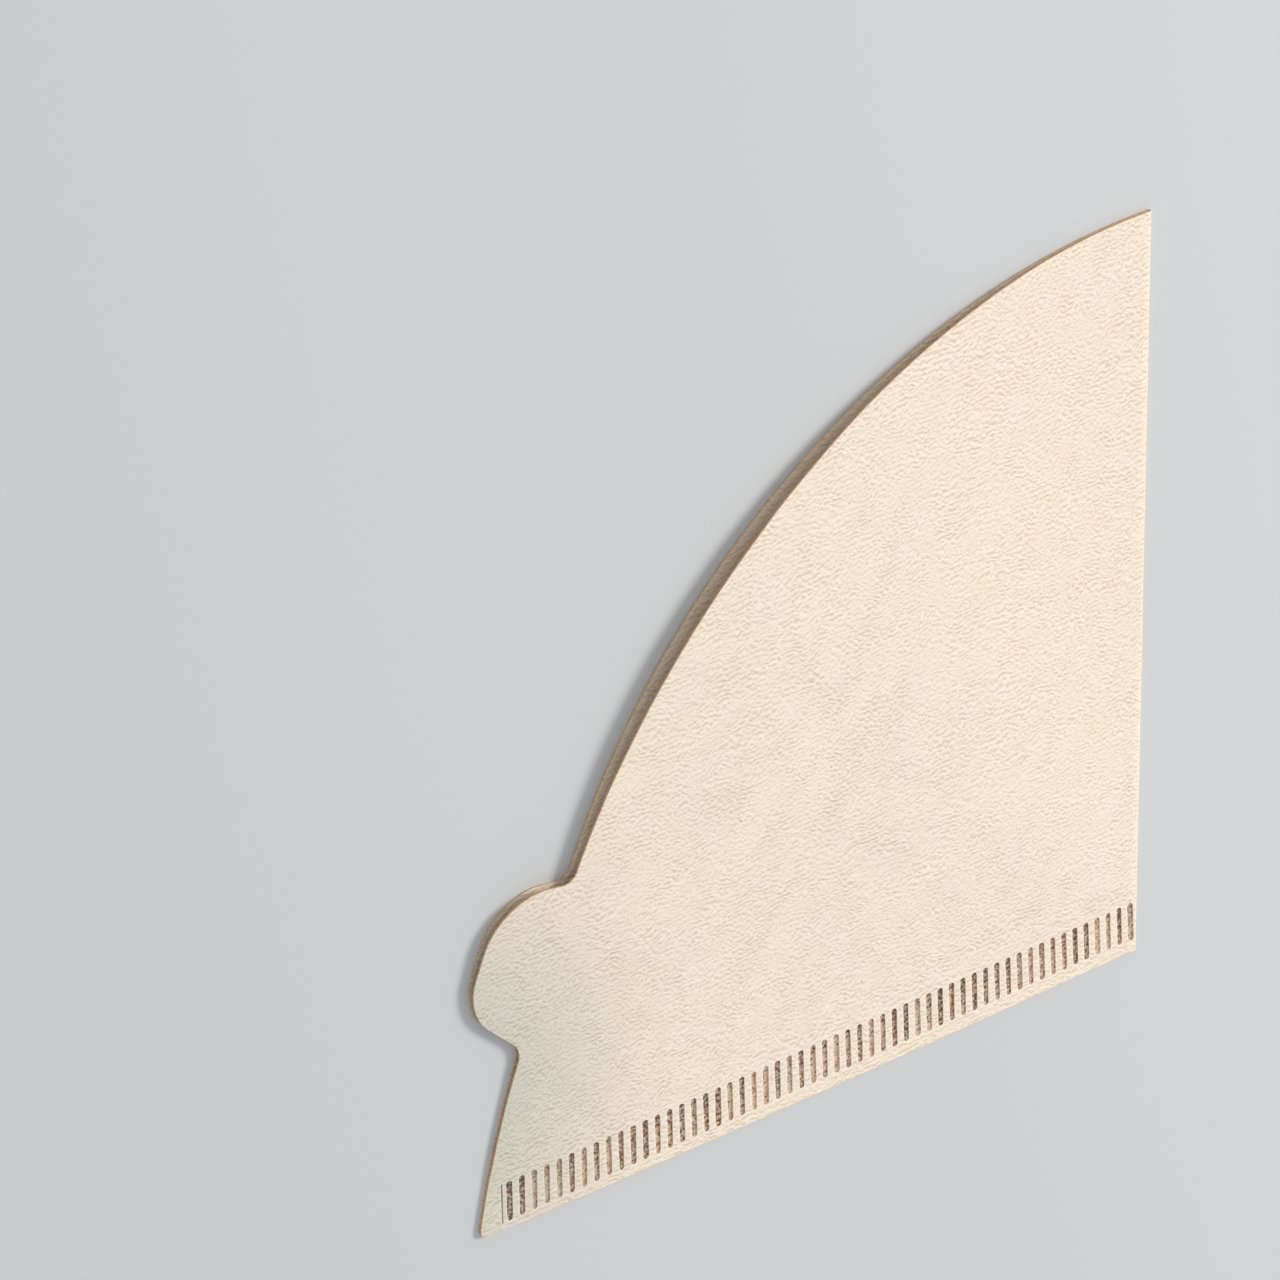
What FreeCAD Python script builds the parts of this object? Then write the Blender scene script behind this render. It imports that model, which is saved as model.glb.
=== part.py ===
import FreeCAD, Part
import os
from math import acos, asin, cos, degrees, floor, pi, radians, sin, tan

# A paper cone filter, folded flat as it comes out of its pack.
# One sheet is folded in half along a straight fold. The two plies are pressed together
# along a crimped seam. The curved edge between fold and seam stays open as the mouth,
# and both plies carry a tab there for pulling them apart.
# It lies on its lower ply. X runs along the crimp row, Y up the fold and Z out of the
# upper ply. Lengths are in millimetres and angles in degrees.

V = FreeCAD.Vector

# Outline, laid out from the apex, where the fold meets the seam.
# Angles are counted from the crimp row up towards the fold.
fold_length = 114.4
fold_angle = 88.3
seam_length = 113.5
seam_angle = 0.5
seam_bulge = 0.5
mouth_radius = 101.3
side_reach = 110.1
side_bulge = 0.6
neck_reach = 110.7
tab_angle = 20.6
tab_root_width = 23.4
tab_tip_width = 16.4
tab_out = 11.0
tab_lean = 0.75

# Roundings of the outline's corners.
seam_corner_radius = 1.2
side_corner_radius = 3.0
tab_low_radius = 7.4
tab_high_radius = 9.0
neck_radius = 2.2

# Paper, and how far the two plies part at the fold and at the middle of the mouth.
ply = 0.30
fold_gap = 0.12
mouth_gap = 2.0

# Crimped seam. The last mark is a narrow one that the crimping tool only touched.
crimp_length = 6.2
crimp_width = 0.9
crimp_pitch = 2.025
crimp_depth = 0.13
crimp_slant = 3.5
crimp_row_height = 5.0
crimp_from_fold = 1.3
bond_margin = 0.8
end_mark_width = 0.25

# How the seam's marks end, counted in pitches, and into how many flats curves are cut.
corner_pitches = 2
end_mark_pitches = 0.6
crown_facets = 18
slot_end_facets = 4

# Worked out from the sizes above.
fold_radius = ply + fold_gap / 2
flat_thickness = 2 * fold_radius
bond_top = crimp_row_height + crimp_length / 2 + bond_margin
tall = flat_thickness + 3 * mouth_gap
overhang = 4 * fold_radius
across = 2 * (fold_length + seam_length)


def polar(reach, angle, height=0):
    """A point at a distance and an angle from the apex."""
    return V(-reach * cos(radians(angle)), reach * sin(radians(angle)), height)


fold_way = polar(1, fold_angle)
fold_side = V(fold_way.y, -fold_way.x, 0)
fold_axis = fold_side * -fold_radius


def bowed(start, end, bulge):
    """An arc between two points that stands out to the left of the way by a bulge."""
    way = end - start
    out = V(-way.y, way.x, 0).normalize()
    return Part.Arc(start, (start + end) * 0.5 + out * bulge, end).toShape()


def outline_corners():
    """The outline's corners in order, from the apex along the seam to the fold's top."""
    root = degrees(asin(tab_root_width / 2 / side_reach))
    tip = degrees(asin(tab_tip_width / 2 / (side_reach + tab_out)))
    apex = V(0, 0, 0)
    seam_corner = polar(seam_length, seam_angle)
    side_top = polar(side_reach, tab_angle - root)
    tab_low = polar(side_reach + tab_out, tab_angle + tab_lean - tip)
    tab_high = polar(neck_reach + tab_out, tab_angle + tab_lean + tip)
    neck = polar(neck_reach, tab_angle + root)
    fold_top = polar(fold_length, fold_angle)
    return [apex, seam_corner, side_top, tab_low, tab_high, neck, fold_top]


def mouth_bulge(neck, fold_top):
    """How far the mouth's arc stands out of its chord."""
    half_chord = neck.distanceToPoint(fold_top) / 2
    return mouth_radius * (1 - cos(asin(half_chord / mouth_radius)))


def sharp_blank(low, high):
    """The outline with sharp corners, as a block between two heights.

    On the fold's side it runs past the fold, which is cut from it later.
    """
    apex, seam_corner, side_top, tab_low, tab_high, neck, fold_top = outline_corners()
    past_apex = apex + fold_side * overhang
    past_top = fold_top + fold_side * overhang
    edges = [
        Part.makeLine(past_apex, apex),
        bowed(apex, seam_corner, seam_bulge),
        bowed(seam_corner, side_top, side_bulge),
        Part.makeLine(side_top, tab_low),
        Part.makeLine(tab_low, tab_high),
        Part.makeLine(tab_high, neck),
        bowed(neck, fold_top, mouth_bulge(neck, fold_top)),
        Part.makeLine(fold_top, past_top),
        Part.makeLine(past_top, past_apex),
    ]
    face = Part.Face(Part.Wire(edges))
    face.translate(V(0, 0, low))
    return face.extrude(V(0, 0, high - low))


def corner_roundings():
    """Each rounded corner with its radius, limited by the edges that it shares."""
    corners = outline_corners()
    wished = [0, seam_corner_radius, side_corner_radius, tab_low_radius,
              tab_high_radius, neck_radius, 0]
    run_ups = [0] * len(corners)
    for index in range(1, len(corners) - 1):
        back = (corners[index - 1] - corners[index]).normalize()
        ahead = (corners[index + 1] - corners[index]).normalize()
        run_ups[index] = wished[index] / tan(acos(back.dot(ahead)) / 2)
    shares = []
    for index in range(len(corners) - 1):
        length = corners[index].distanceToPoint(corners[index + 1])
        shares.append(0.95 * length / (run_ups[index] + run_ups[index + 1]))
    rounded = []
    for index in range(1, len(corners) - 1):
        share = min(1, shares[index - 1], shares[index])
        rounded.append((corners[index], wished[index] * share))
    return rounded


def blank(low, high):
    """The outline with its corners rounded, as a block between two heights."""
    block = sharp_blank(low, high)
    for corner, radius in corner_roundings():
        upright = []
        for edge in block.Edges:
            ends = [vertex.Point for vertex in edge.Vertexes]
            if all(V(end.x, end.y, 0).distanceToPoint(corner) < 0.001 for end in ends):
                upright.append(edge)
        block = block.makeFillet(radius, upright)
    return block


def region(points, low, high):
    """A block over a polygon, between two heights."""
    loop = [V(point.x, point.y, low) for point in points]
    face = Part.Face(Part.makePolygon(loop + loop[:1]))
    return face.extrude(V(0, 0, high - low))


def inside_fold(low, high):
    """Everything on the plies' side of the fold's axis."""
    near = fold_axis - fold_way * across
    far = fold_axis + fold_way * across
    return region([near, far, far - fold_side * across, near - fold_side * across], low, high)


def void_corner():
    """Where the inner edge of the bonded seam meets the fold's axis."""
    along = (bond_top - fold_axis.y) / fold_way.y
    return fold_axis + fold_way * along


def fan_point(angle, crowned):
    """A point past the mouth, level with the flat paper or lifted by the crown.

    The crown grows evenly from the void's corner outwards. It is nothing at the fold and
    at the seam, and most halfway between them.
    """
    centre = void_corner()
    reach = 1.05 * max(centre.distanceToPoint(corner) for corner in outline_corners())
    lift = 0
    if crowned:
        lift = mouth_gap * sin(pi * angle / fold_angle) ** 2 * reach / (fold_length - bond_top)
    return centre + polar(reach, angle, flat_thickness + lift)


def fan(crowned):
    """Flat three-cornered plates of paper round the void's corner, from seam to fold."""
    tip = void_corner() + V(0, 0, flat_thickness)
    step = fold_angle / crown_facets
    plates = []
    for index in range(crown_facets):
        first = fan_point(index * step, crowned)
        second = fan_point((index + 1) * step, crowned)
        face = Part.Face(Part.makePolygon([tip, first, second, tip]))
        plates.append(face.extrude(V(0, 0, -ply)))
    return plates[0].fuse(plates[1:])


def lower_ply():
    """The flat ply that the filter lies on."""
    return blank(0, ply).common(inside_fold(0, ply))


def upper_ply():
    """The ply on top: flat along seam and fold, and crowned between them."""
    low = flat_thickness - ply
    flat = blank(low, flat_thickness).common(inside_fold(low, flat_thickness)).cut(fan(False))
    return flat.fuse(fan(True).common(blank(0, tall)))


def bonded_seam():
    """The paper between the two plies where the seam presses them into one."""
    edge = V(0, bond_top, 0)
    below = V(0, -across, 0)
    wide = V(across, 0, 0)
    strip = region([edge - wide, edge + wide, below + wide, below - wide], ply, ply + fold_gap)
    return strip.common(blank(ply, ply + fold_gap)).common(inside_fold(ply, ply + fold_gap))


def fold():
    """The half-round fold that joins the two plies."""
    axis_height = V(0, 0, fold_radius)
    start = fold_axis - fold_way * across + axis_height
    tube = Part.makeCylinder(fold_radius, 2 * across, start, fold_way)
    bore = Part.makeCylinder(fold_gap / 2, 2 * across, void_corner() + axis_height, fold_way)
    half = tube.cut(bore).cut(inside_fold(-overhang, tall))
    return half.common(blank(-overhang, tall))


def slot(width, low, high):
    """An upright round-ended slot of the crimps' length, centred on the origin."""
    radius = width / 2
    straight = crimp_length / 2 - radius
    turns = [pi * index / slot_end_facets for index in range(slot_end_facets + 1)]
    top = [V(radius * cos(turn), straight + radius * sin(turn), 0) for turn in turns]
    block = region(top + [-point for point in top], low, high)
    block.rotate(V(0, 0, 0), V(0, 0, 1), crimp_slant)
    return block


def crimps():
    """The marks pressed into both faces of the seam, as one group of cutting blocks."""
    room = seam_length - crimp_from_fold - corner_pitches * crimp_pitch
    last = floor(room / crimp_pitch)
    marks = [(index, crimp_width) for index in range(last + 1)]
    marks.append((last + end_mark_pitches, end_mark_width))
    tools = []
    for steps, width in marks:
        place = V(-crimp_from_fold - steps * crimp_pitch, crimp_row_height, 0)
        tools.append(slot(width, -overhang, crimp_depth).translated(place))
        tools.append(slot(width, flat_thickness - crimp_depth, tall).translated(place))
    return Part.makeCompound(tools)


def folded_filter():
    """The whole filter as one piece of paper, centred over the surface it lies on."""
    plies = lower_ply().fuse([upper_ply(), bonded_seam(), fold()])
    paper = plies.removeSplitter().cut(crimps())
    box = paper.optimalBoundingBox(False, False)
    return paper.translated(V(-box.Center.x, -box.Center.y, -box.ZMin))


os.makedirs("parts", exist_ok=True)
piece = folded_filter()
piece.exportStep("parts/folded_filter.step")
print("solids", len(piece.Solids), "valid", piece.isValid(), "volume mm3", round(piece.Volume, 1))
print("box mm", piece.optimalBoundingBox(False, False))
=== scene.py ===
# %% [markdown]
# # A paper cone filter, folded flat
# The real thing is one sheet of creped natural paper. It is folded in half, its two plies
# are pressed together along one side by a row of crimps, and its curved edge is left open
# as the mouth, with a tab for pulling the plies apart.
# A flat plane with a pattern on it would look right from one side only. Here the sheet is
# modelled at its real size, as one skin that runs over the top ply, round the fold and back
# under the bottom ply, and that is given the paper's thickness near the end.
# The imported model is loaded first, because it says where the paper is and how big it is.

# %% Load the frame
import math
import random

import bmesh
import bpy
from mathutils import Matrix, Vector, noise
from mathutils.bvhtree import BVHTree


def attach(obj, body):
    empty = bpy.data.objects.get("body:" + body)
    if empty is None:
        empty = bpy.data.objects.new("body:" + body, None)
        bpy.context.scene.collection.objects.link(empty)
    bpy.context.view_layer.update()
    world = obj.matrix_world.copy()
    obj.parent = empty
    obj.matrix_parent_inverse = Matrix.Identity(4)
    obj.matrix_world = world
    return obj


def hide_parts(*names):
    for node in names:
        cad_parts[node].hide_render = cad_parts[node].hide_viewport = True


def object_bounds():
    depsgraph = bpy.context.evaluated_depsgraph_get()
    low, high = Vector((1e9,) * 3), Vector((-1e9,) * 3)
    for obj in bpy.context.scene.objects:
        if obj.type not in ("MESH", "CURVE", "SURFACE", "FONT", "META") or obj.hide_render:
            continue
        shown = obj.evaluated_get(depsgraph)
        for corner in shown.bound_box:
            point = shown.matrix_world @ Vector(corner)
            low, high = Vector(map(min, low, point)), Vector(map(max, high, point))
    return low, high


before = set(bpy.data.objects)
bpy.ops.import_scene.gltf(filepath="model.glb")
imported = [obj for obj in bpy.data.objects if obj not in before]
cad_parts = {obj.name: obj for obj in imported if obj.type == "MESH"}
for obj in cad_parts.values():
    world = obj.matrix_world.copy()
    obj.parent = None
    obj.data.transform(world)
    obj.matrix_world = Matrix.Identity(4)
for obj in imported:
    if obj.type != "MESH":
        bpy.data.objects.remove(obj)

cad_low, cad_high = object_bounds()
print("CAD box, mm:", [round(size * 1000, 2) for size in cad_high - cad_low])

# %% [markdown]
# ## Millimetres, and the filter's own corner
# Blender counts in metres, but paper is easier to think about in millimetres. Everything is
# modelled in millimetres round the apex, the corner where the fold meets the seam, with X
# along the seam and Y up the fold. One last step scales it and moves it to its place.
# `polar` gives a point by its distance and angle from the apex, which is how a fan shape is
# laid out with compasses.

# %% Units, paper and fold
MM = 0.001
PLY = 0.30
FOLD_GAP = 0.12
FOLD_RADIUS = PLY + FOLD_GAP / 2
FOLD_ANGLE = 88.3
FOLD_LENGTH = 114.4


def polar(reach, angle, height=0.0):
    """A point at a distance and an angle from the apex, counted from the seam to the fold."""
    turn = math.radians(angle)
    return Vector((-reach * math.cos(turn), reach * math.sin(turn), height))


fold_way = polar(1, FOLD_ANGLE)
fold_side = Vector((fold_way.y, -fold_way.x, 0))
fold_axis = fold_side * -FOLD_RADIUS
print("fold radius", FOLD_RADIUS, "mm")

# %% [markdown]
# ## The outline that the paper is cut to
# Both plies are cut together, so one outline does for both. It has only seven corners.
# A curve object could draw it, but a bmesh is easier to measure and to cut with. A single
# vertex is pushed along each straight side, and spun round a centre along each bowed one.
# Five of the corners are then rounded with a vertex bevel. Its width is the distance from
# the corner to where the round starts, which is the radius divided by the tangent of half
# the corner's angle. On the fold's side the outline stops at the fold's axis.

# %% Outline sizes
SEAM_LENGTH = 113.5
SEAM_ANGLE = 0.5
SEAM_BULGE = 0.5
MOUTH_RADIUS = 101.3
SIDE_REACH = 110.1
SIDE_BULGE = 0.6
NECK_REACH = 110.7
TAB_ANGLE = 20.6
TAB_ROOT_WIDTH = 23.4
TAB_TIP_WIDTH = 16.4
TAB_OUT = 11.0
TAB_LEAN = 0.75
print("the tab is", TAB_ROOT_WIDTH, "mm wide at its root and stands out", TAB_OUT, "mm")

# %% Outline corners
tab_root = math.degrees(math.asin(TAB_ROOT_WIDTH / 2 / SIDE_REACH))
tab_tip = math.degrees(math.asin(TAB_TIP_WIDTH / 2 / (SIDE_REACH + TAB_OUT)))
apex_inner = fold_axis
seam_corner = polar(SEAM_LENGTH, SEAM_ANGLE)
side_top = polar(SIDE_REACH, TAB_ANGLE - tab_root)
tab_low = polar(SIDE_REACH + TAB_OUT, TAB_ANGLE + TAB_LEAN - tab_tip)
tab_high = polar(NECK_REACH + TAB_OUT, TAB_ANGLE + TAB_LEAN + tab_tip)
neck = polar(NECK_REACH, TAB_ANGLE + tab_root)
fold_top = polar(FOLD_LENGTH, FOLD_ANGLE) + fold_axis
half_mouth = (fold_top - neck).length / 2
mouth_bulge = MOUTH_RADIUS * (1 - math.cos(math.asin(half_mouth / MOUTH_RADIUS)))
print("the mouth stands out of its chord by", round(mouth_bulge, 2), "mm")

# %% Draw the outline
CHORD = 3.0
SNAP = 0.01
outline = bmesh.new()


def straight_to(tip, corner):
    """Pushes the outline's last vertex along a straight side."""
    made = bmesh.ops.extrude_vert_indiv(outline, verts=[tip])["verts"][0]
    made.co = corner
    return made


def bowed_to(tip, corner, bulge):
    """Spins the outline's last vertex along a side that bows outwards."""
    way = corner - tip.co
    out = Vector((-way.y, way.x, 0)).normalized()
    radius = (way.length_squared / 4 + bulge ** 2) / (2 * bulge)
    centre = (tip.co + corner) / 2 + out * (bulge - radius)
    sweep = 2 * math.asin(way.length / 2 / radius)
    made = bmesh.ops.spin(outline, geom=[tip], cent=centre, axis=(0, 0, 1), angle=-sweep,
                          steps=math.ceil(radius * sweep / CHORD), use_duplicate=False)
    return next(item for item in made["geom_last"] if isinstance(item, bmesh.types.BMVert))


tip = outline.verts.new(apex_inner)
tip = bowed_to(tip, seam_corner, SEAM_BULGE)
tip = bowed_to(tip, side_top, SIDE_BULGE)
for corner in (tab_low, tab_high, neck):
    tip = straight_to(tip, corner)
tip = bowed_to(tip, fold_top, mouth_bulge)
tip = straight_to(tip, apex_inner)
bmesh.ops.remove_doubles(outline, verts=outline.verts, dist=SNAP)
bmesh.ops.contextual_create(outline, geom=outline.edges)
print("outline:", len(outline.verts), "points,", len(outline.faces), "face")

# %% Round five of its corners
ROUND_SEGMENTS = 8
corner_radii = [(seam_corner, 1.2), (side_top, 3.0), (tab_low, 7.4), (tab_high, 9.0), (neck, 2.2)]
for place, radius in corner_radii:
    corner = min(outline.verts, key=lambda vert: (vert.co - place).length)
    back, ahead = [edge.other_vert(corner).co - corner.co for edge in corner.link_edges]
    run_up = radius / math.tan(back.angle(ahead) / 2)
    bmesh.ops.bevel(outline, geom=[corner], offset=run_up, offset_type="OFFSET",
                    segments=ROUND_SEGMENTS, profile=0.5, affect="VERTICES", material=-1)
    print("rounded a", radius, "mm corner over", round(run_up, 2), "mm")

# %% Where the apex lies
outline_low = min(vert.co.y for vert in outline.verts)
apex = Vector((cad_high.x / MM, cad_low.y / MM - outline_low, 0))
ply_area = sum(face.calc_area() for face in outline.faces)
print("one ply covers", round(ply_area, 1), "mm2; apex at, mm:", [round(x, 2) for x in apex])

# %% [markdown]
# ## Camera
# The paper lies flat, and the camera looks down on its upper ply from beyond the mouth.
# A camera can be aimed with a Track To constraint, but that keeps the world's Z upright in
# the picture. Here the fold should run up the picture, so the camera's three axes are given
# one by one: one looks at the paper, and the next is as near to the fold's Y as it can be.
# The long lens keeps the far corner almost as large as the near one.

# %% Camera
CAMERA_FROM_APEX = Vector((-501.3, 466.1, 524.8))
AIM_FROM_APEX = Vector((-87.4, 80.6, 2 * FOLD_RADIUS))
LENS = 174.7

camera_data = bpy.data.cameras.new("camera")
camera_data.lens = LENS
camera_data.sensor_width = 36
camera_data.clip_start = 0.01
camera_data.clip_end = 100
camera = bpy.data.objects.new("camera", camera_data)
bpy.context.scene.collection.objects.link(camera)
bpy.context.scene.camera = camera

look = (AIM_FROM_APEX - CAMERA_FROM_APEX).normalized()
right = look.cross(Vector((0, 1, 0))).normalized()
axes = Matrix((right, right.cross(look), -look)).transposed()
camera.matrix_world = Matrix.Translation((apex + CAMERA_FROM_APEX) * MM) @ axes.to_4x4()
print("the camera looks down at", round(math.degrees(math.asin(-look.z)), 1), "degrees")

# %% [markdown]
# ## Three helpers for colours and nodes
# A colour is easy to write as the sRGB hex code that a paint program shows, but Blender
# reckons in linear light, so one function turns it. Nodes could be linked one by one by
# hand in the editor. A script needs only one small function that adds a node of any kind.

# %% Colours and nodes
def linear(code):
    """An sRGB hex colour as the linear colour that Blender's sockets take."""
    made = []
    for start in (1, 3, 5):
        share = int(code[start:start + 2], 16) / 255
        made.append(share / 12.92 if share <= 0.04045 else ((share + 0.055) / 1.055) ** 2.4)
    return (*made, 1.0)


def add_node(tree, kind, values=None, links=None, **settings):
    """Adds a node, sets what it is, fills its sockets and links others to them."""
    node = tree.nodes.new(kind)
    for name, value in settings.items():
        setattr(node, name, value)
    for socket, value in (values or {}).items():
        node.inputs[socket].default_value = value
    for socket, source in (links or {}).items():
        tree.links.new(source, node.inputs[socket])
    return node


def new_material(name):
    """A material with an empty node tree."""
    material = bpy.data.materials.new(name)
    material.use_nodes = True
    material.node_tree.nodes.clear()
    return material


print("the cream #FFF1DC in linear light:", [round(part, 3) for part in linear("#FFF1DC")])

# %% [markdown]
# ## Light and floor
# A studio shot of paper needs a plain pale floor and soft light. The world gives an even
# fill from all round. One large lamp stands beyond the fold and past its open end, so that it
# shines slantwise across the ridges of the crepe. It is low enough to give each ridge a light
# and a dark side, and far enough off to light the whole sheet almost evenly.
# The floor is a big square of matt painted board, a pale grey with no gloss.

# %% World and lamp
SKY_STRENGTH = 0.61
LAMP_SIZE = 0.55
LAMP_POWER = 16.8
LAMP_PLACE = Vector((1.24, 0.32, 0.87))
bpy.context.scene.view_settings.view_transform = "Standard"

world = bpy.data.worlds.new("studio")
world.use_nodes = True
sky = world.node_tree.nodes["Background"]
sky.inputs["Color"].default_value = linear("#F6F9FC")
sky.inputs["Strength"].default_value = SKY_STRENGTH
bpy.context.scene.world = world

lamp_data = bpy.data.lights.new("key", "AREA")
lamp_data.shape = "DISK"
lamp_data.size = LAMP_SIZE
lamp_data.energy = LAMP_POWER
lamp_data.color = linear("#FFFBF6")[:3]
lamp = bpy.data.objects.new("key", lamp_data)
bpy.context.scene.collection.objects.link(lamp)
lamp.location = LAMP_PLACE
lamp.rotation_mode = "QUATERNION"
lamp.rotation_quaternion = LAMP_PLACE.to_track_quat("Z", "Y")
print("the lamp stands", round(LAMP_PLACE.length, 2), "m away")

# %% Floor
FLOOR_REACH = 20
floor_mesh = bpy.data.meshes.new("floor")
shaper = bmesh.new()
bmesh.ops.create_grid(shaper, x_segments=1, y_segments=1, size=FLOOR_REACH)
shaper.to_mesh(floor_mesh)
shaper.free()
floor = bpy.data.objects.new("floor", floor_mesh)
bpy.context.scene.collection.objects.link(floor)

studio_board = new_material("matt_studio_board")
tree = studio_board.node_tree
board = add_node(tree, "ShaderNodeBsdfPrincipled", {"Base Color": linear("#D4D5D6"), "Roughness": 0.8})
add_node(tree, "ShaderNodeOutputMaterial", links={"Surface": board.outputs["BSDF"]})
floor_mesh.materials.append(studio_board)
print("the floor reaches", FLOOR_REACH, "m each way")

# %% [markdown]
# ## One crimp
# The crimping wheel presses a slanting round-ended mark into the paper, pushes up a low
# rim round it and bruises the fibres brown. Sculpting or displacing it would need a very
# fine mesh. A small cell of real faces is cleaner: a round-ended face, made from a circle
# pulled apart at its middle, is inset three times for the rim, the edge and the wall, and
# the room round it is filled out to a rectangle as wide as one pitch. Each vertex notes how
# far it is pressed in, as a share: 1 on the bottom of the mark, 0 on plain paper, and a
# little under 0 on the rim.
# `subdivide_edges` makes Python forget the vertices that it was holding, so each vertex
# also carries its ring's number, and the loops are found again by it.

# %% Crimp sizes
CRIMP_LENGTH = 6.2
CRIMP_WIDTH = 0.9
CRIMP_PITCH = 2.025
CRIMP_FROM_FOLD = 1.3
CRIMP_ROW_HEIGHT = 5.0
CRIMP_COUNT = 54
END_MARK_STEP = 0.6
END_MARK_WIDTH = 0.25
BAND_HEIGHT = 7.3
BAND_ROWS = 18
ROW = BAND_HEIGHT / BAND_ROWS
BAND_LOW = CRIMP_ROW_HEIGHT - BAND_HEIGHT / 2
print("crimp row, mm:", round((CRIMP_COUNT - 1) * CRIMP_PITCH, 1), " grid row, mm:", round(ROW, 3))

# %% Draw a cell's rectangle
def ring_edges(cell, ring):
    """The edges between two vertices of one ring."""
    layer = cell.verts.layers.float["ring"]
    return [edge for edge in cell.edges if all(round(vert[layer]) == ring for vert in edge.verts)]


def draw_rectangle(cell, left, right):
    """The rectangle round a mark, with its upright sides cut to the ply's rows."""
    corners = bmesh.ops.create_circle(cell, cap_ends=False, radius=1, segments=4,
                                      matrix=Matrix.Rotation(math.pi / 4, 4, "Z"))["verts"]
    for vert in corners:
        vert.co.x = right if vert.co.x > 0 else left
        vert.co.y = math.copysign(BAND_HEIGHT / 2, vert.co.y)
    walls = [edge for edge in cell.edges if edge.calc_length() > CRIMP_LENGTH]
    bmesh.ops.subdivide_edges(cell, edges=walls, cuts=BAND_ROWS - 1)


print("a rectangle is", CRIMP_PITCH, "x", BAND_HEIGHT, "mm")

# %% Draw and press a mark
LOOP_SEGMENTS = 12
SIDE_CUTS = 7
RIM_WIDTH = 0.12
RIM_SLOPE = 0.08
RIM_SHARE = -0.15
WALL = 0.10


def draw_mark(cell, width):
    """The round-ended face that a mark and its rim take up."""
    ring = cell.verts.layers.float["ring"]
    around = RIM_WIDTH + RIM_SLOPE
    turn = Matrix.Rotation(math.pi / LOOP_SEGMENTS, 4, "Z")
    radius = (width / 2 + around) / math.cos(math.pi / LOOP_SEGMENTS)
    made = bmesh.ops.create_circle(cell, cap_ends=False, radius=radius,
                                   segments=LOOP_SEGMENTS, matrix=turn)["verts"]
    for vert in made:
        vert.co.y += math.copysign((CRIMP_LENGTH - width) / 2, vert.co.y)
        vert[ring] = 1
    sides = [edge for edge in ring_edges(cell, 1) if edge.calc_length() > CRIMP_LENGTH / 2]
    bmesh.ops.subdivide_edges(cell, edges=sides, cuts=SIDE_CUTS)
    return bmesh.ops.contextual_create(cell, geom=ring_edges(cell, 1))["faces"][0]


def press_mark(cell, mark, width):
    """Insets a mark's face for the rim, the edge and the wall, and notes how far each is pressed."""
    ring = cell.verts.layers.float["ring"]
    pressed = cell.verts.layers.float["pressed"]
    steps = [(RIM_WIDTH, RIM_SHARE), (RIM_SLOPE, 0.0), (min(WALL, width / 3), 1.0)]
    for number, (inset, share) in enumerate(steps):
        bmesh.ops.inset_individual(cell, faces=[mark], thickness=inset, use_even_offset=True)
        for vert in mark.verts:
            vert[ring] = 2 + number
            vert[pressed] = share


print("a mark with its rim is", round(CRIMP_WIDTH + 2 * (RIM_WIDTH + RIM_SLOPE), 2), "mm wide")

# %% Make a crimp cell
def crimp_cell(width, left, right):
    """One mark in its rectangle, centred on the mark, with its pressed shares noted."""
    cell = bmesh.new()
    cell.verts.layers.float.new("ring")
    cell.verts.layers.float.new("pressed")
    draw_rectangle(cell, left, right)
    press_mark(cell, draw_mark(cell, width), width)
    between = ring_edges(cell, 0) + ring_edges(cell, 1)
    bmesh.ops.triangle_fill(cell, edges=between, use_beauty=True, normal=(0, 0, 1))
    bmesh.ops.recalc_face_normals(cell, faces=cell.faces)
    if sum(face.normal.z for face in cell.faces) < 0:
        bmesh.ops.reverse_faces(cell, faces=cell.faces)
    mesh = bpy.data.meshes.new("crimp_cell")
    cell.to_mesh(mesh)
    cell.free()
    return mesh


plain_cell = crimp_cell(CRIMP_WIDTH, -CRIMP_PITCH / 2, CRIMP_PITCH / 2)
print("one crimp:", len(plain_cell.vertices), "points,", len(plain_cell.polygons), "faces")

# %% [markdown]
# ## One ply, flat
# A sheet is a grid. Its columns are one crimp pitch wide, so that the crimp cells drop into
# it, and its rows are fine enough to carry the crepe. The faces where the crimps go are
# deleted, the cells are set in their place and the doubled vertices are merged.
# No two crimps of a real wheel are quite alike. The marks lean a little more near the fold,
# taper, wobble and differ in depth, so each cell's mark is varied with a seeded random
# number, while the rectangle round it stays as it is and keeps meeting its neighbours.

# %% Place the grid's lines
ROWS_BELOW = 4
MARGIN = 1
columns = math.ceil((SIDE_REACH + TAB_OUT) / CRIMP_PITCH)
rows = ROWS_BELOW + BAND_ROWS + math.ceil((FOLD_LENGTH + MARGIN - BAND_LOW - BAND_HEIGHT) / ROW)
grid_right = -CRIMP_FROM_FOLD + CRIMP_PITCH / 2
grid_low = BAND_LOW - ROWS_BELOW * ROW
grid_width = columns * CRIMP_PITCH
grid_height = rows * ROW
print("grid:", columns, "columns,", rows, "rows")

# %% Make room for the narrow end mark
last_mark = -CRIMP_FROM_FOLD - (CRIMP_COUNT - 1) * CRIMP_PITCH
end_mark = last_mark - END_MARK_STEP * CRIMP_PITCH
last_line = (last_mark - CRIMP_WIDTH / 2 + end_mark + END_MARK_WIDTH / 2) / 2
even_line = last_mark - CRIMP_PITCH / 2
end_line = even_line - CRIMP_PITCH
print("the line between the last two marks moves by", round(last_line - even_line, 2), "mm")

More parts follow.
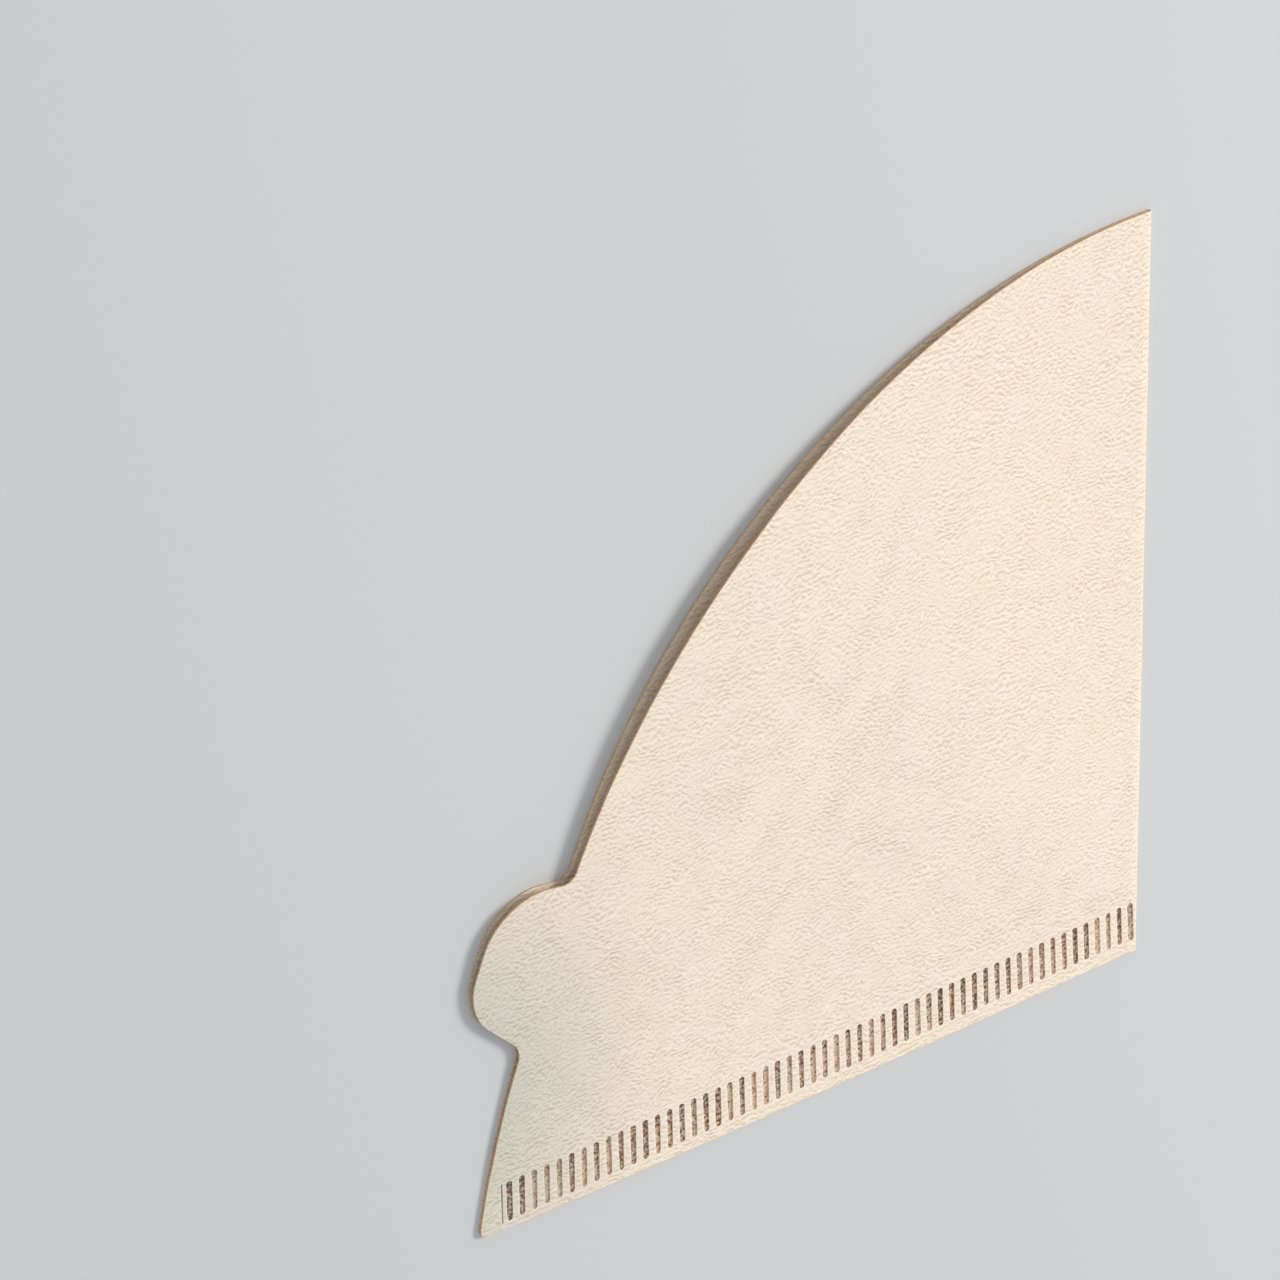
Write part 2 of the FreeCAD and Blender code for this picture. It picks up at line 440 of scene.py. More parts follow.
# %% Make the grid and open it for the crimps
ply = bmesh.new()
for name in ("ring", "pressed", "tone_and_top_shadow", "side"):
    ply.verts.layers.float.new(name)
size = Matrix.Diagonal((grid_width / 2, grid_height / 2, 1, 1))
centre = Matrix.Translation((grid_right - grid_width / 2, grid_low + grid_height / 2, 0))
bmesh.ops.create_grid(ply, x_segments=columns, y_segments=rows, size=1, matrix=centre @ size)
for vert in ply.verts:
    if abs(vert.co.x - even_line) < SNAP:
        vert.co.x = last_line
windows = []
for face in ply.faces:
    middle = face.calc_center_median()
    if middle.x > end_line and BAND_LOW < middle.y < BAND_LOW + BAND_HEIGHT:
        windows.append(face)
print("faces taken out for the crimps:", len(windows))
bmesh.ops.delete(ply, geom=windows, context="FACES")

# %% Vary one crimp
LEAN_BY_FOLD = 5.0
LEAN_FAR_OFF = 1.0
LEAN_VARIES = 0.4
WOBBLE = 0.025
chance = random.Random(7)
varied_mesh = bpy.data.meshes.new("varied_crimp")


def eased(share):
    """0 up to 0 and 1 from 1, with a smooth rise between them."""
    share = min(max(share, 0.0), 1.0)
    return share * share * (3 - 2 * share)


def set_crimp(mesh, middle, share_along):
    """Gives a mark its lean, taper, brown and painted top-end shadow, and adds the cell to the ply."""
    cell = bmesh.new()
    cell.from_mesh(mesh)
    ring = cell.verts.layers.float["ring"]
    pressed = cell.verts.layers.float["pressed"]
    tone_and_top_shadow = cell.verts.layers.float.new("tone_and_top_shadow")
    lean = LEAN_BY_FOLD - (LEAN_BY_FOLD - LEAN_FAR_OFF) * share_along
    lean = math.tan(math.radians(lean + chance.uniform(-LEAN_VARIES, LEAN_VARIES)))
    taper = chance.uniform(0.0, 0.24)
    spread = chance.uniform(1.0, 1.15)
    depth = chance.uniform(0.85, 1.1)
    shade = chance.random()
    seed = chance.uniform(0, 99)
    for vert in cell.verts:
        x, y = vert.co.x, vert.co.y
        if vert[ring] > 0.5:
            low_end = 0.5 - y / CRIMP_LENGTH
            wobble = WOBBLE * noise.noise(Vector((seed + x, y * 0.9, 0)))
            x = x * spread * (1 - taper * low_end) - lean * y + wobble
            vert[pressed] *= depth
            # The top quarter of each mark is made darker: painted shadow from the mark's upper wall.
            below_top_shadow = eased(low_end * 4)
            spots = noise.noise(Vector((seed, y, 9)))
            vert[tone_and_top_shadow] = shade * 0.7 + 0.3 * below_top_shadow + 0.25 * spots
        vert.co = Vector((middle + x, CRIMP_ROW_HEIGHT + y, 0))
    cell.to_mesh(varied_mesh)
    cell.free()
    ply.from_mesh(varied_mesh)


print("marks lean from", LEAN_BY_FOLD, "to", LEAN_FAR_OFF, "degrees")

# %% Set the crimps in
WELD = 0.004
last_cell = crimp_cell(CRIMP_WIDTH, last_line - last_mark, CRIMP_PITCH / 2)
end_cell = crimp_cell(END_MARK_WIDTH, end_line - end_mark, last_line - end_mark)
for index in range(CRIMP_COUNT - 1):
    set_crimp(plain_cell, -CRIMP_FROM_FOLD - index * CRIMP_PITCH, index / CRIMP_COUNT)
set_crimp(last_cell, last_mark, 1.0)
set_crimp(end_cell, end_mark, 1.0)
bmesh.ops.remove_doubles(ply, verts=ply.verts, dist=WELD)
open_edges = [edge for edge in ply.edges if edge.is_boundary]
print("ply with crimps:", len(ply.faces), "faces,", len(open_edges), "open edges")

# %% [markdown]
# ## Cut the ply to its outline
# A knife can be run along the outline in the editor. In a script, `bisect_plane` does the
# same: each short side of the outline becomes an upright plane that cuts only the faces
# near it. What then lies outside is found by dropping a ray from each face's centre onto
# the outline's own face, and is deleted.

# %% Score the outline
ON_LINE = 0.02


def score(start, end):
    """Cuts the ply's faces near one side of the outline along that side."""
    middle = (start + end) / 2
    near = (end - start).length / 2 + 2 * CRIMP_PITCH
    way = end - start
    faces = [face for face in ply.faces if (face.calc_center_median() - middle).length < near]
    edges = {edge for face in faces for edge in face.edges}
    verts = {vert for face in faces for vert in face.verts}
    bmesh.ops.bisect_plane(ply, geom=[*verts, *edges, *faces], dist=ON_LINE,
                           plane_co=start, plane_no=Vector((-way.y, way.x, 0)))


for edge in outline.edges:
    score(edge.verts[0].co.copy(), edge.verts[1].co.copy())
print("scored ply:", len(ply.faces), "faces")

# %% Trim what lies outside
outline_tree = BVHTree.FromBMesh(outline)
down = Vector((0, 0, -1))
outside = []
for face in ply.faces:
    if outline_tree.ray_cast(face.calc_center_median() - down, down)[0] is None:
        outside.append(face)
bmesh.ops.delete(ply, geom=outside, context="FACES")
cut_area = sum(face.calc_area() for face in ply.faces)
print("cut ply:", len(ply.faces), "faces,", round(cut_area, 1), "mm2")

# %% [markdown]
# ## Lift, copy and fold
# The upper ply is flat along the seam and the fold and rises to about 2 mm in the middle of
# the mouth, as a filter does that has been folded and let go. The lower ply is a copy of
# it that lies on the floor and faces down. Where the two meet at the fold, the upper ply's
# edge is spun half a turn round the fold's axis, down to the lower ply's edge.
# A cloth simulation would bend the plies too, but paper hardly stretches, and a formula
# keeps the crease, the seam and the gap where they are on the real thing.

# %% How far the plies part
MOUTH_GAP = 2.0
BOND_TOP = 8.9
void_corner = fold_axis + fold_way * ((BOND_TOP - fold_axis.y) / fold_way.y)


def crown(place):
    """How far the plies part at a place, counted round the inner corner of the space."""
    way = place - void_corner
    if way.y <= 0:
        return 0.0
    angle = min(math.atan2(way.y, -way.x), math.radians(FOLD_ANGLE))
    rise = math.sin(angle * math.pi / math.radians(FOLD_ANGLE)) ** 2
    return MOUTH_GAP * rise * way.length / (FOLD_LENGTH - BOND_TOP)


middle_of_mouth = void_corner + polar(FOLD_LENGTH - BOND_TOP, FOLD_ANGLE / 2)
print("gap in the middle of the mouth, mm:", round(crown(middle_of_mouth), 2))

# %% How high each ply lies
SEAM_GAP = 0.02
SEAM_EASE = 3
FOLD_EASE = 1.2
COCKLE_RISE = 0.16
COCKLE_SIZE = 21
RIPPLE_RISE = 0.05
RIPPLE_SIZE = 8
COCKLE_EASE = 25
LIFT_SHARE = 0.04
LIFT_SIZE = 17


def upper_height(place):
    """The height of the upper ply's outer face."""
    from_fold = (fold_axis - place).dot(fold_side)
    from_seam = place.y - BOND_TOP
    loose = max(eased(from_seam / SEAM_EASE), eased(1 - from_fold / FOLD_EASE))
    gap = SEAM_GAP + (FOLD_GAP - SEAM_GAP) * loose
    cockle = COCKLE_RISE * noise.noise(place / COCKLE_SIZE) + RIPPLE_RISE * noise.noise(place / RIPPLE_SIZE)
    free = eased(from_fold / COCKLE_EASE) * eased(from_seam / COCKLE_EASE)
    return 2 * PLY + gap + crown(place) + cockle * free


def lower_height(place):
    """The height of the lower ply's outer face, which lifts a little where it can."""
    return crown(place) * LIFT_SHARE * (1 + noise.noise(place / LIFT_SIZE))


print("the seam is", round(upper_height(seam_corner), 2), "mm thick")

# %% Place the plies
side = ply.verts.layers.float["side"]
upper_verts = list(ply.verts)
copied = bmesh.ops.duplicate(ply, geom=[*ply.verts, *ply.edges, *ply.faces])["geom"]
lower_verts = [item for item in copied if isinstance(item, bmesh.types.BMVert)]
lower_faces = [item for item in copied if isinstance(item, bmesh.types.BMFace)]
bmesh.ops.reverse_faces(ply, faces=lower_faces)
for vert in upper_verts:
    vert.co.z = upper_height(vert.co)
    vert[side] = 1
for vert in lower_verts:
    vert.co.z = lower_height(vert.co)
    vert[side] = -1
print("two plies:", len(ply.faces), "faces")

# %% Roll the fold
FOLD_STEPS = 8


def on_fold(vert):
    """Whether a vertex of the upper ply lies on the fold's axis line."""
    return vert[side] > 0.5 and abs((fold_axis - vert.co).dot(fold_side)) < ON_LINE


fold_edges = [edge for edge in ply.edges if edge.is_boundary and all(on_fold(v) for v in edge.verts)]
fold_verts = {vert for edge in fold_edges for vert in edge.verts}
axis_point = fold_axis + Vector((0, 0, FOLD_RADIUS))
bmesh.ops.spin(ply, geom=[*fold_verts, *fold_edges], cent=axis_point, axis=fold_way,
               angle=math.pi, steps=FOLD_STEPS, use_merge=False, use_duplicate=False)
bmesh.ops.remove_doubles(ply, verts=ply.verts, dist=WELD)
bmesh.ops.recalc_face_normals(ply, faces=ply.faces)
highest = max(ply.faces, key=lambda face: face.calc_center_median().z)
if highest.normal.z < 0:
    bmesh.ops.reverse_faces(ply, faces=ply.faces)
print("folded skin:", len(ply.faces), "faces, fold edge in", len(fold_edges), "parts")

# %% [markdown]
# ## Give the skin its thickness
# Solidify grows the paper inwards from its outer face, so the outline and the height stay
# as they are. Its rim faces take the next material, which is the cut edge. The modifier is
# applied here, because the crimps and the crepe are pressed into the outer face only: the
# inner faces of the seam lie against each other and stay flat.
# Solidify keeps the outer vertices first in its list, so their number tells them apart.

# %% Solidify
skin_mesh = bpy.data.meshes.new("skin")
ply.to_mesh(skin_mesh)
outer_count = len(ply.verts)
ply.free()
skin = bpy.data.objects.new("skin", skin_mesh)
bpy.context.scene.collection.objects.link(skin)
thickness = skin.modifiers.new("paper", "SOLIDIFY")
thickness.thickness = PLY
thickness.offset = -1
thickness.use_even_offset = True
thickness.use_rim = True
thickness.material_offset_rim = 1
for name in ("creped_filter_paper", "cut_paper_edge"):
    skin_mesh.materials.append(new_material(name))
solid = skin.evaluated_get(bpy.context.evaluated_depsgraph_get())
paper_mesh = bpy.data.meshes.new_from_object(solid)
paper_mesh.name = "folded_paper"
bpy.data.objects.remove(skin)
print("paper:", len(paper_mesh.vertices), "points,", outer_count, "of them outside")

# %% [markdown]
# ## Press in the crimps and the crepe
# A Displace modifier could move the faces by a texture, but the marks are already drawn in
# the mesh, so each outer vertex is simply moved inwards by its own share of a crimp's depth.
# The crepe's longer waves are pressed in at the same time, about a hundredth of a millimetre
# deep. Its short ridges are finer than a face of the mesh, and come with the material.

# %% The crepe's longer waves
CREPE_DEPTH = 0.014
CREPE_EASE = 2
CREPE_LENGTH = 2.1
CREPE_WIDTH = 0.75
WANDER = 1.4
WANDER_SIZE = 13


def crepe(place):
    """How deep the paper's crepe is at a place, from 0 on a ridge to 1 between ridges."""
    wander = WANDER * noise.noise(Vector((place.x / WANDER_SIZE, place.y / WANDER_SIZE, 5.0)))
    waves = noise.noise(Vector((place.x / CREPE_LENGTH, (place.y + wander) / CREPE_WIDTH, 0.0)))
    return 0.5 + 0.5 * waves


print("crepe at the neck is pressed in by", round(CREPE_DEPTH * crepe(neck), 4), "mm")

# %% Press the outer faces in
CRIMP_DEPTH = 0.13
paper = bmesh.new()
paper.from_mesh(paper_mesh)
paper.verts.ensure_lookup_table()
outer = paper.verts.layers.float.new("outer")
pressed = paper.verts.layers.float["pressed"]
side = paper.verts.layers.float["side"]
for vert in paper.verts[:outer_count]:
    from_fold = (fold_axis - vert.co).dot(fold_side)
    inwards = CREPE_DEPTH * crepe(vert.co) * eased(from_fold / CREPE_EASE) * abs(vert[side])
    inwards += CRIMP_DEPTH * vert[pressed] * abs(vert[side])
    vert.co.z -= math.copysign(inwards, vert[side])
    vert[outer] = 1
for vert in paper.verts[outer_count:]:
    vert[pressed] = 0
for vert in paper.verts:
    vert.co.z = max(vert.co.z, 0.0)
print("deepest share pressed in:", round(max(vert[pressed] for vert in paper.verts), 2))

# %% Smooth faces, crisp cut edges
for face in paper.faces:
    face.smooth = True
for edge in paper.edges:
    edge.smooth = len({face.material_index for face in edge.link_faces}) == 1
open_edges = sum(not edge.is_manifold for edge in paper.edges)
print("open edges:", open_edges, " volume, mm3:", round(paper.calc_volume(), 1))

# %% Scale it to metres and put it in its place
bmesh.ops.scale(paper, verts=paper.verts, vec=(MM, MM, MM))
bmesh.ops.translate(paper, verts=paper.verts, vec=apex * MM)
paper.to_mesh(paper_mesh)
paper.free()
folded_paper = bpy.data.objects.new("folded_paper", paper_mesh)
bpy.context.scene.collection.objects.link(folded_paper)
triangles = sum(len(face.vertices) - 2 for face in paper_mesh.polygons)
print("triangles:", triangles)

# %% [markdown]
# ## Creped natural filter paper
# Filter paper is long soft wood fibre, unbleached or half bleached, laid down thin and then
# scraped off its drying drum while damp, which leaves it creped. To the eye that is a warm
# cream colour with faint pink and yellow clouds, fine wavy ridges that run with the seam, a
# fibrous grain and a rare dark speck. It has no gloss.
# An image would show all this, but not at every distance. Procedural textures on Object
# coordinates do it at real sizes: the coordinates are turned to millimetres first, and then
# each texture is told the size of what it draws.

# %% Coordinates in millimetres
creped_paper = paper_mesh.materials[0]
tree = creped_paper.node_tree
position = add_node(tree, "ShaderNodeTexCoord").outputs["Object"]
mm = add_node(tree, "ShaderNodeMapping", {"Scale": (1 / MM, 1 / MM, 1 / MM)},
              {"Vector": position}).outputs["Vector"]
print("one unit of the paper's coordinates is", 1000 * MM, "mm")

# %% [markdown]
# ### The crepe's ridges
# The ridges keep an even distance, yet no single one runs far. Noise that is drawn out along
# the seam gives short strokes. It is read twice, half a ridge apart, and the two readings are
# subtracted: that keeps what changes from one ridge to the next and drops the broad clouds
# that any noise has. A faint Wave texture under it keeps the ridges' distance even.
# Two noises push the coordinates of all of them about: a broad one swings the strokes' way
# by some degrees, and a finer one breaks them up. A third fades them in patches.
# A Wave texture repeats 20 times in each 2 pi units, which its scale allows for. A Noise
# texture's blots are about one unit across, so the coordinates are divided by a stroke's size.

# %% Push the coordinates about
SWING = 6.0
SWING_BY = 1.0
BREAK = 1.6
BREAK_BY = 0.10
swing = add_node(tree, "ShaderNodeTexNoise", {"Scale": 1 / SWING, "Detail": 1.0},
                 {"Vector": mm}).outputs["Fac"]
broken = add_node(tree, "ShaderNodeTexNoise", {"Scale": 1 / BREAK, "Detail": 1.0},
                  {"Vector": mm}).outputs["Fac"]
swung = add_node(tree, "ShaderNodeMath", {1: 2 * SWING_BY}, {0: swing}, operation="MULTIPLY")
shift = add_node(tree, "ShaderNodeMath", {1: 2 * BREAK_BY}, {0: broken, 2: swung.outputs[0]},
                 operation="MULTIPLY_ADD")
push = add_node(tree, "ShaderNodeCombineXYZ", links={"Y": shift.outputs[0]})
pushed = add_node(tree, "ShaderNodeVectorMath", links={0: mm, 1: push.outputs[0]},
                  operation="ADD").outputs["Vector"]
print("the ridges swing by about", SWING_BY, "mm in", SWING, "mm")

# %% Strokes
RIDGE_SPACING = 0.76
STROKE_WIDTH = 0.29
STROKE_LENGTH = 0.7
stroke_scale = (1 / STROKE_LENGTH, 1 / STROKE_WIDTH, 1.0)
readings = []
for beyond in (0, RIDGE_SPACING / 2):
    drawn_out = add_node(tree, "ShaderNodeMapping",
                         {"Scale": stroke_scale, "Location": (0, beyond / STROKE_WIDTH, 0)},
                         {"Vector": pushed}).outputs["Vector"]
    reading = add_node(tree, "ShaderNodeTexNoise", {"Scale": 1.0, "Detail": 0.0}, {"Vector": drawn_out})
    readings.append(reading.outputs["Fac"])
strokes = add_node(tree, "ShaderNodeMath", links={0: readings[0], 1: readings[1]},
                   operation="SUBTRACT").outputs[0]
print("strokes", STROKE_LENGTH, "x", STROKE_WIDTH, "mm")

# %% An even wave under the strokes, and patches that fade them
WAVE_SHARE = 0.25
STROKE_REACH = 0.35
PATCH = 3.5
wave = add_node(tree, "ShaderNodeTexWave", {"Scale": 2 * math.pi / 20 / RIDGE_SPACING},
                {"Vector": pushed}, bands_direction="Y").outputs["Fac"]
both = add_node(tree, "ShaderNodeMath", {1: WAVE_SHARE}, {0: wave, 2: strokes},
                operation="MULTIPLY_ADD").outputs[0]
centred = add_node(tree, "ShaderNodeMapRange",
                   {"From Min": WAVE_SHARE / 2 - STROKE_REACH, "From Max": WAVE_SHARE / 2 + STROKE_REACH,
                    "To Min": -0.5, "To Max": 0.5}, {"Value": both}).outputs["Result"]
patch = add_node(tree, "ShaderNodeTexNoise", {"Scale": 1 / PATCH, "Detail": 2.0}, {"Vector": mm})
patch_share = add_node(tree, "ShaderNodeMapRange", {"From Min": 0.3, "From Max": 0.65, "To Min": 0.35},
                       {"Value": patch.outputs["Fac"]}).outputs["Result"]
ridges = add_node(tree, "ShaderNodeMath", {2: 0.5}, {0: centred, 1: patch_share},
                  operation="MULTIPLY_ADD").outputs[0]
print("ridges", RIDGE_SPACING, "mm apart")

# %% [markdown]
# ### Grain, clouds and specks
# Four more noises give the paper its colour. The finest is the grain of single fibres, which
# with the ridges decides between the cream of a crest and a darker tan. That tan is partly
# the fibres' own grain and partly painted shade in the crepe's grooves. A real fibre is about
# 0.03 mm thick, too fine to show, so the grain is drawn coarser. Clouds some millimetres
# across darken the cream a little, tints turn it from yellow to pink, and the peaks of a last
# noise are the rare specks of bark.

# %% Grain, clouds and tints
GRAIN = 0.20
CLOUD = 4.0
TINT = 9.0
SPECK = 0.5
grain = add_node(tree, "ShaderNodeTexNoise", {"Scale": 1 / GRAIN, "Detail": 1.0},
                 {"Vector": mm}).outputs["Fac"]
clouds = add_node(tree, "ShaderNodeTexNoise", {"Scale": 1 / CLOUD, "Detail": 3.0},
                  {"Vector": mm}).outputs["Fac"]
tints = add_node(tree, "ShaderNodeTexNoise", {"Scale": 1 / TINT, "Detail": 1.0},
                 {"Vector": mm}).outputs["Fac"]
specks = add_node(tree, "ShaderNodeTexNoise", {"Scale": 1 / SPECK, "Detail": 0.0},
                  {"Vector": mm}).outputs["Fac"]
print("grain", GRAIN, "mm, clouds", CLOUD, "mm, tints", TINT, "mm")

# %% Cream crests and painted shade in the grooves
GRAIN_SHARE = 1.2
tint_share = add_node(tree, "ShaderNodeMapRange", {"From Min": 0.35, "From Max": 0.65},
                      {"Value": tints}).outputs["Result"]
crest = add_node(tree, "ShaderNodeMix", {6: linear("#FFF1DC"), 7: linear("#FFEFDF")},
                 {0: tint_share}, data_type="RGBA").outputs[2]
fibres = add_node(tree, "ShaderNodeMath", {1: GRAIN_SHARE}, {0: grain, 2: ridges},
                  operation="MULTIPLY_ADD")
# The tan is painted shade in the crepe's grooves, mixed with the fibres' own grain.
crest_over_groove_shade = add_node(tree, "ShaderNodeMapRange", {"From Min": 0.68, "From Max": 1.22},
                       {"Value": fibres.outputs[0]}).outputs["Result"]
creped = add_node(tree, "ShaderNodeMix", {6: linear("#E7D3BD")}, {0: crest_over_groove_shade, 7: crest},
                  data_type="RGBA").outputs[2]
print("paper nodes so far:", len(tree.nodes))

# %% Clouds and specks
cloud_share = add_node(tree, "ShaderNodeMapRange", {"From Min": 0.4, "From Max": 0.75},
                       {"Value": clouds}).outputs["Result"]
cloudy = add_node(tree, "ShaderNodeMix", {7: linear("#FBFAF8")}, {0: cloud_share, 6: creped},
                  data_type="RGBA", blend_type="MULTIPLY").outputs[2]
speck_share = add_node(tree, "ShaderNodeMapRange", {"From Min": 0.83, "From Max": 0.87, "To Max": 0.45},
                       {"Value": specks}).outputs["Result"]
specked = add_node(tree, "ShaderNodeMix", {7: linear("#93806A")}, {0: speck_share, 6: cloudy},
                   data_type="RGBA").outputs[2]
print("paper nodes so far:", len(tree.nodes))

# %% [markdown]
# ### Crushed fibres
# Inside a crimp the fibres are crushed together and bruised brown, with darker and lighter
# spots and a hint of red. The mesh's `pressed` share says where, noise frays its edge, and
# a per-mark value makes each mark a little different and darkens its top end with painted
# shadow from the mark's upper wall. The rim that is pushed up round a mark has a share under
# 0, and it gets a painted highlight: a paler colour that stands in for the light it catches.

# %% Where the fibres are crushed
MOTTLE = 0.50
HUE_SPOT = 0.8
pressed_share = add_node(tree, "ShaderNodeAttribute", attribute_name="pressed").outputs["Fac"]
tone_and_top_shadow_share = add_node(tree, "ShaderNodeAttribute", attribute_name="tone_and_top_shadow").outputs["Fac"]
mottle = add_node(tree, "ShaderNodeTexNoise", {"Scale": 1 / MOTTLE, "Detail": 2.0, "Roughness": 0.6},
                  {"Vector": mm}).outputs["Fac"]
hues = add_node(tree, "ShaderNodeTexNoise", {"Scale": 1 / HUE_SPOT, "Detail": 1.0},
                {"Vector": mm}).outputs["Fac"]
# A painted highlight: the raised rim round each mark is made paler, standing in for the light it catches.
rim_highlight_share = add_node(tree, "ShaderNodeMapRange", {"From Min": -0.02, "From Max": -0.12, "To Max": 0.7},
                      {"Value": pressed_share}).outputs["Result"]
with_rim_highlight = add_node(tree, "ShaderNodeMix", {7: linear("#FFF6EA")}, {0: rim_highlight_share, 6: specked},
                  data_type="RGBA").outputs[2]
frayed = add_node(tree, "ShaderNodeMath", {1: 0.5}, {0: mottle, 2: pressed_share},
                  operation="MULTIPLY_ADD").outputs[0]
crushed = add_node(tree, "ShaderNodeMapRange", {"From Min": 0.40, "From Max": 0.60},
                   {"Value": frayed}).outputs["Result"]
print("spots in a crimp are about", MOTTLE, "mm")

# %% Browns of the crushed fibres
# The per-mark value also darkens each mark's top end: painted shadow from its upper wall.
toned_and_shaded = add_node(tree, "ShaderNodeMath", {1: 0.2}, {0: tone_and_top_shadow_share, 2: mottle},
                 operation="MULTIPLY_ADD").outputs[0]
brown_share = add_node(tree, "ShaderNodeMapRange", {"From Min": 0.49, "From Max": 0.68},
                       {"Value": toned_and_shaded}).outputs["Result"]
brown = add_node(tree, "ShaderNodeMix", {6: linear("#624C3D"), 7: linear("#DCC3A7")},
                 {0: brown_share}, data_type="RGBA").outputs[2]
red_share = add_node(tree, "ShaderNodeMapRange", {"From Min": 0.45, "From Max": 0.75, "To Max": 0.6},
                     {"Value": hues}).outputs["Result"]
bruised = add_node(tree, "ShaderNodeMix", {7: linear("#A8705A")}, {0: red_share, 6: brown},
                   data_type="RGBA").outputs[2]
crimped = add_node(tree, "ShaderNodeMix", links={0: crushed, 6: with_rim_highlight, 7: bruised},
                   data_type="RGBA").outputs[2]
print("paper nodes so far:", len(tree.nodes))

# %% [markdown]
# ### Painted shade in the corner
# The corner by the tab is painted a shade greyer and greener than the rest of the sheet, a
# painted shade that stands in for the light falling off and turning cooler there. A gradient
# could be painted in an image. Here the distance from one point, just outside the edge
# below the tab, says how much of the grey is multiplied in.

# %% Painted shade in the corner
PAINTED_SHADE_REACH = 46.0
DARKEST_SHADE_FROM_SIDE_TOP = Vector((-16, -6, 0))
darkest_shade = tuple(apex + side_top + DARKEST_SHADE_FROM_SIDE_TOP)
from_corner = add_node(tree, "ShaderNodeVectorMath", {1: darkest_shade}, {0: mm}, operation="DISTANCE")
painted_shade_share = add_node(tree, "ShaderNodeMapRange", {"From Min": PAINTED_SHADE_REACH, "From Max": 0.0},
                      {"Value": from_corner.outputs["Value"]},
                      interpolation_type="SMOOTHSTEP").outputs["Result"]
# Painted shade: the paper is multiplied greyer and greener towards the corner by the tab.
colour = add_node(tree, "ShaderNodeMix", {7: linear("#CEDDE0")}, {0: painted_shade_share, 6: crimped},
                  data_type="RGBA", blend_type="MULTIPLY").outputs[2]
print("the grey reaches", PAINTED_SHADE_REACH, "mm")

# %% [markdown]
# ### The paper's shader
# The ridges and the grain are one height in millimetres, which a Bump node turns to a tilt of
# the surface. Where the sheet is folded the crepe is pressed nearly flat, so the ridges lose
# height over the last millimetre before the fold. The distance along the direction that
# points straight out of the fold says how near a place is to it.

# %% Relief in millimetres
RIDGE_RELIEF = 0.070
RELIEF_AT_FOLD = 0.015
GRAIN_RELIEF = 0.014
fold_line = apex.dot(fold_side)
towards_fold = add_node(tree, "ShaderNodeVectorMath", {1: tuple(fold_side)}, {0: mm},
                        operation="DOT_PRODUCT").outputs["Value"]
ridge_height = add_node(tree, "ShaderNodeMapRange",
                        {"From Min": fold_line - FOLD_EASE, "From Max": fold_line - FOLD_RADIUS,
                         "To Min": RIDGE_RELIEF, "To Max": RELIEF_AT_FOLD},
                        {"Value": towards_fold}).outputs["Result"]
grain_part = add_node(tree, "ShaderNodeMath", {1: GRAIN_RELIEF}, {0: grain}, operation="MULTIPLY")
relief = add_node(tree, "ShaderNodeMath", links={0: ridges, 1: ridge_height, 2: grain_part.outputs[0]},
                  operation="MULTIPLY_ADD").outputs[0]
print("the ridges are up to", RIDGE_RELIEF, "mm high")

# %% Paper shader
bump = add_node(tree, "ShaderNodeBump", {"Strength": 1.0, "Distance": MM}, {"Height": relief})
fibre = add_node(tree, "ShaderNodeBsdfPrincipled", {"Roughness": 0.88, "IOR": 1.45},
                 {"Base Color": colour, "Normal": bump.outputs["Normal"]})
add_node(tree, "ShaderNodeOutputMaterial", links={"Surface": fibre.outputs["BSDF"]})
print("paper nodes:", len(tree.nodes))

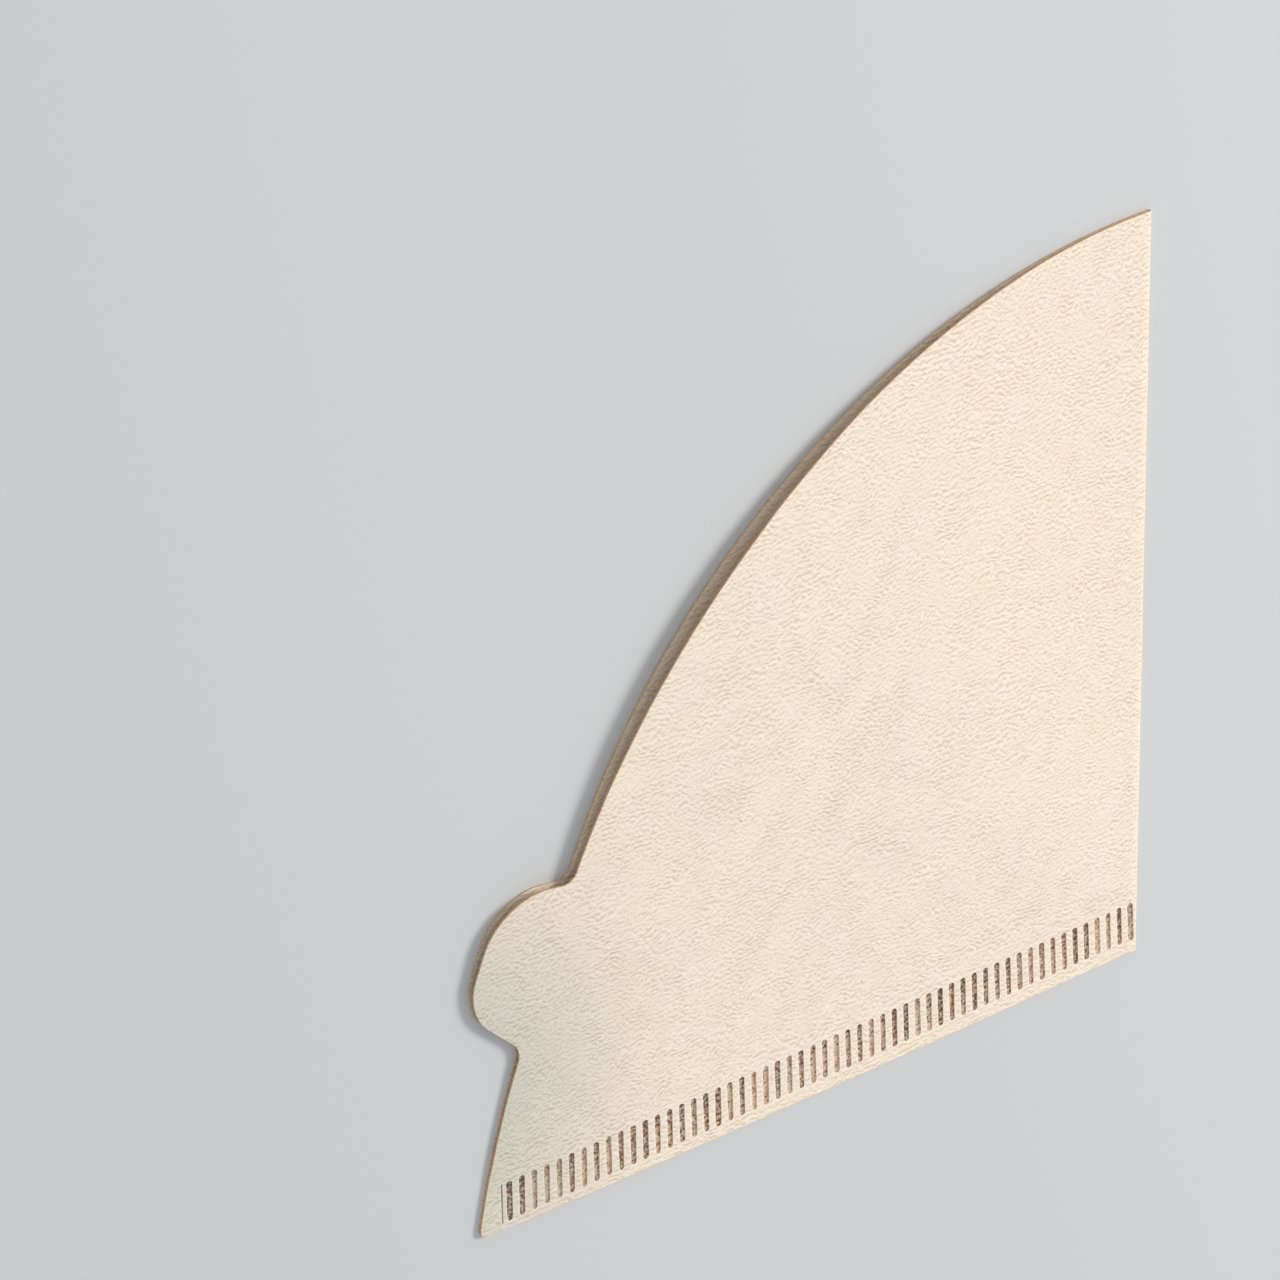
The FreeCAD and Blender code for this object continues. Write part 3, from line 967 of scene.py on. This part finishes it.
# %% [markdown]
# ## Cut edge
# A die cuts through the matted fibres and leaves them brown and ragged, darker than the
# face. A painted highlight runs along it: a paler line on the outer face's side of the edge,
# standing in for the light that the edge catches there. The `outer` share, 1 on the outer
# face and 0 inside, says where that line is. The rest is two browns mixed by a grain, and a
# rough bump.

# %% Cut fibres
EDGE_GRAIN = 0.28
cut_edge = paper_mesh.materials[1]
tree = cut_edge.node_tree
position = add_node(tree, "ShaderNodeTexCoord").outputs["Object"]
mm = add_node(tree, "ShaderNodeMapping", {"Scale": (1 / MM, 1 / MM, 1 / MM)},
              {"Vector": position}).outputs["Vector"]
ends = add_node(tree, "ShaderNodeTexNoise", {"Scale": 1 / EDGE_GRAIN, "Detail": 3.0},
                {"Vector": mm}).outputs["Fac"]
end_share = add_node(tree, "ShaderNodeMapRange", {"From Min": 0.3, "From Max": 0.7},
                     {"Value": ends}).outputs["Result"]
browns = add_node(tree, "ShaderNodeMix", {6: linear("#B98A60"), 7: linear("#E6C29B")},
                  {0: end_share}, data_type="RGBA").outputs[2]
print("fibre ends are drawn", EDGE_GRAIN, "mm wide")

# %% Painted highlight and shader of the cut edge
EDGE_RELIEF = 0.08
outer_share = add_node(tree, "ShaderNodeAttribute", attribute_name="outer").outputs["Fac"]
# A painted highlight: a paler line along the outer face's side of the cut edge.
edge_highlight_share = add_node(tree, "ShaderNodeMapRange", {"From Min": 0.6, "From Max": 0.95, "To Max": 0.8},
                {"Value": outer_share}).outputs["Result"]
edge_colour = add_node(tree, "ShaderNodeMix", {7: linear("#F8E6C8")}, {0: edge_highlight_share, 6: browns},
                       data_type="RGBA").outputs[2]
bump = add_node(tree, "ShaderNodeBump", {"Strength": 1.0, "Distance": EDGE_RELIEF * MM}, {"Height": ends})
edge_fibre = add_node(tree, "ShaderNodeBsdfPrincipled", {"Roughness": 0.9, "IOR": 1.45},
                      {"Base Color": edge_colour, "Normal": bump.outputs["Normal"]})
add_node(tree, "ShaderNodeOutputMaterial", links={"Surface": edge_fibre.outputs["BSDF"]})
print("edge nodes:", len(tree.nodes))

# %% [markdown]
# ## Attach it to the body
# The sheet stands for the imported node, which is hidden, and rides on the one body.

# %% Attach the sheet and hide the imported node
outline.free()

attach(folded_paper, "root")
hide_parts("folded_filter")
